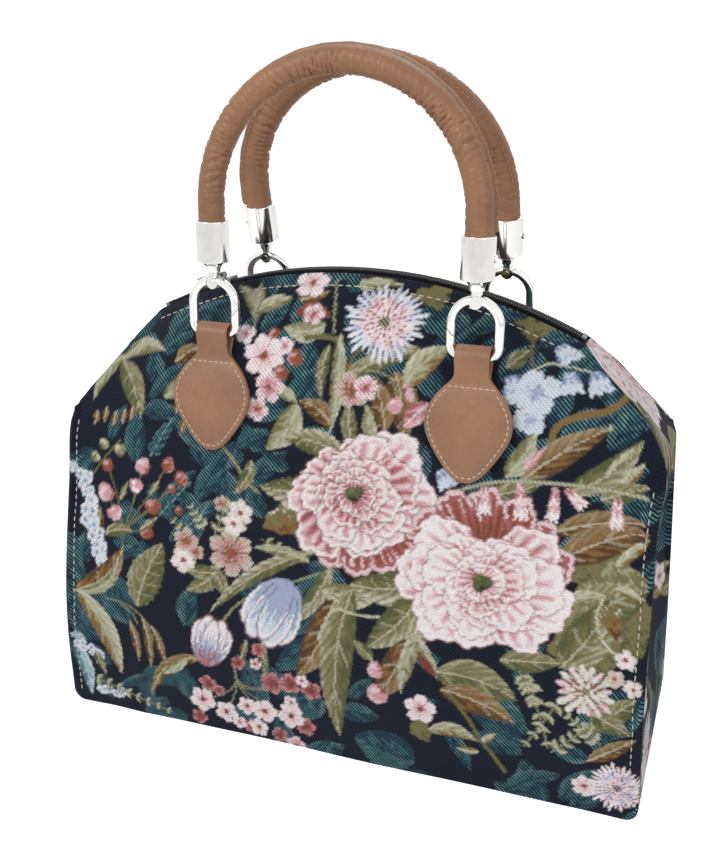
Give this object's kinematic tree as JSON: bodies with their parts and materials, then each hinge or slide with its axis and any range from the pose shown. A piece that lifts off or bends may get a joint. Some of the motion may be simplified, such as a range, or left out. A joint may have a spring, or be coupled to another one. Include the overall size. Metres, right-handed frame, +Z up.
{
  "type": "bag",
  "caption": "Tapestry carpet bag with a zipped dome top, boxed gusset, rolled leather handles on swivelling snap rings and pointed leather tabs.",
  "frame": {"origin": "middle of the base, on the floor", "axes": "+X to the right seen from the front, the front faces -Y, +Z up"},
  "size_m": [0.3356, 0.129, 0.3773],
  "materials": {
    "tapestry": "jacquard tapestry of many flowers on a dark blue-green ground",
    "lining_cloth": "plain weave",
    "board": "matte",
    "zip_tape": "herringbone tape",
    "zip_coil": "satin coil",
    "zip_metal": "polished nickel",
    "tab_leather": "satin smooth leather with cream stitching",
    "handle_leather": "satin smooth leather, gathered round the bend",
    "rope_core": "twisted rope",
    "spring_steel": "bright",
    "plated_metal": "polished nickel"
  },
  "bodies": {
    "bag": {"back_panel": "tapestry", "base_board": "board", "front_panel": "tapestry", "gusset": "tapestry", "lining": "lining_cloth", "tab_back_left": "tab_leather", "tab_back_right": "tab_leather", "tab_front_left": "tab_leather", "tab_front_right": "tab_leather", "zip_coil_back": "zip_coil", "zip_coil_front": "zip_coil", "zip_stop_closed_end": "zip_metal", "zip_stop_open_end": "zip_metal", "zip_tape_back": "zip_tape", "zip_tape_front": "zip_tape"},
    "front_handle": {"handle_leather_front": "handle_leather", "handle_core_front": "rope_core", "ferrule_front_left": "plated_metal", "ferrule_front_right": "plated_metal", "ferrule_screws_front": "plated_metal"},
    "front_left_ring": {"ring_front_left": "plated_metal", "swivel_front_left": "plated_metal"},
    "front_left_gate": {"gate_front_left": "plated_metal", "gate_pin_front_left": "plated_metal", "gate_spring_front_left": "spring_steel"},
    "front_right_ring": {"ring_front_right": "plated_metal", "swivel_front_right": "plated_metal"},
    "front_right_gate": {"gate_front_right": "plated_metal", "gate_pin_front_right": "plated_metal", "gate_spring_front_right": "spring_steel"},
    "back_handle": {"handle_leather_back": "handle_leather", "handle_core_back": "rope_core", "ferrule_back_left": "plated_metal", "ferrule_back_right": "plated_metal", "ferrule_screws_back": "plated_metal"},
    "back_left_ring": {"ring_back_left": "plated_metal", "swivel_back_left": "plated_metal"},
    "back_left_gate": {"gate_back_left": "plated_metal", "gate_pin_back_left": "plated_metal", "gate_spring_back_left": "spring_steel"},
    "back_right_ring": {"ring_back_right": "plated_metal", "swivel_back_right": "plated_metal"},
    "back_right_gate": {"gate_back_right": "plated_metal", "gate_pin_back_right": "plated_metal", "gate_spring_back_right": "spring_steel"},
    "zip_slider": {"zip_slider": "zip_metal"},
    "zip_pull": {"zip_pull": "zip_metal"}
  },
  "joints": [
    {"name": "front_handle_swing", "type": "hinge", "parent": "bag", "child": "front_handle", "pos_m": [0, -0.03691, 0.2329], "axis": [1, 0, 0], "range_deg": [-7.8, 124]},
    {"name": "front_left_ring_swivel", "type": "hinge", "parent": "front_handle", "child": "front_left_ring", "pos_m": [-0.07, -0.03691, 0.2329], "axis": [0, 0.0698, 0.9976], "range_deg": [-6, 6]},
    {"name": "front_left_gate_open", "type": "hinge", "parent": "front_left_ring", "child": "front_left_gate", "pos_m": [-0.07, -0.03507, 0.25924], "axis": [0, -0.9976, 0.0698], "range_deg": [-25, 0], "stiffness_Nm_per_rad": 0.01, "springref_deg": 5.16},
    {"name": "front_right_ring_swivel", "type": "hinge", "parent": "front_handle", "child": "front_right_ring", "pos_m": [0.07, -0.03691, 0.2329], "axis": [0, 0.0698, 0.9976], "range_deg": [-6, 6]},
    {"name": "front_right_gate_open", "type": "hinge", "parent": "front_right_ring", "child": "front_right_gate", "pos_m": [0.07, -0.03507, 0.25924], "axis": [0, 0.9976, -0.0698], "range_deg": [-25, 0], "stiffness_Nm_per_rad": 0.01, "springref_deg": 5.16},
    {"name": "back_handle_swing", "type": "hinge", "parent": "bag", "child": "back_handle", "pos_m": [0, 0.03691, 0.2329], "axis": [-1, 0, 0], "range_deg": [0, 131.8]},
    {"name": "back_left_ring_swivel", "type": "hinge", "parent": "back_handle", "child": "back_left_ring", "pos_m": [-0.07, 0.03691, 0.2329], "axis": [0, -0.2045, 0.9789], "range_deg": [-6, 6]},
    {"name": "back_left_gate_open", "type": "hinge", "parent": "back_left_ring", "child": "back_left_gate", "pos_m": [-0.07, 0.03151, 0.25875], "axis": [0, -0.9789, -0.2045], "range_deg": [-25, 0], "stiffness_Nm_per_rad": 0.01, "springref_deg": 5.16},
    {"name": "back_right_ring_swivel", "type": "hinge", "parent": "back_handle", "child": "back_right_ring", "pos_m": [0.07, 0.03691, 0.2329], "axis": [0, -0.2045, 0.9789], "range_deg": [-6, 6]},
    {"name": "back_right_gate_open", "type": "hinge", "parent": "back_right_ring", "child": "back_right_gate", "pos_m": [0.07, 0.03151, 0.25875], "axis": [0, 0.9789, 0.2045], "range_deg": [-25, 0], "stiffness_Nm_per_rad": 0.01, "springref_deg": 5.16},
    {"name": "zip_slide", "type": "hinge", "parent": "bag", "child": "zip_slider", "pos_m": [0, 0, -0.00487], "axis": [0, 1, 0], "range_deg": [-6, 41.4]},
    {"name": "zip_pull_flip", "type": "hinge", "parent": "zip_slider", "child": "zip_pull", "pos_m": [-0.0836, 0, 0.25404], "axis": [0, 1, 0], "range_deg": [0, 165]}
  ]
}
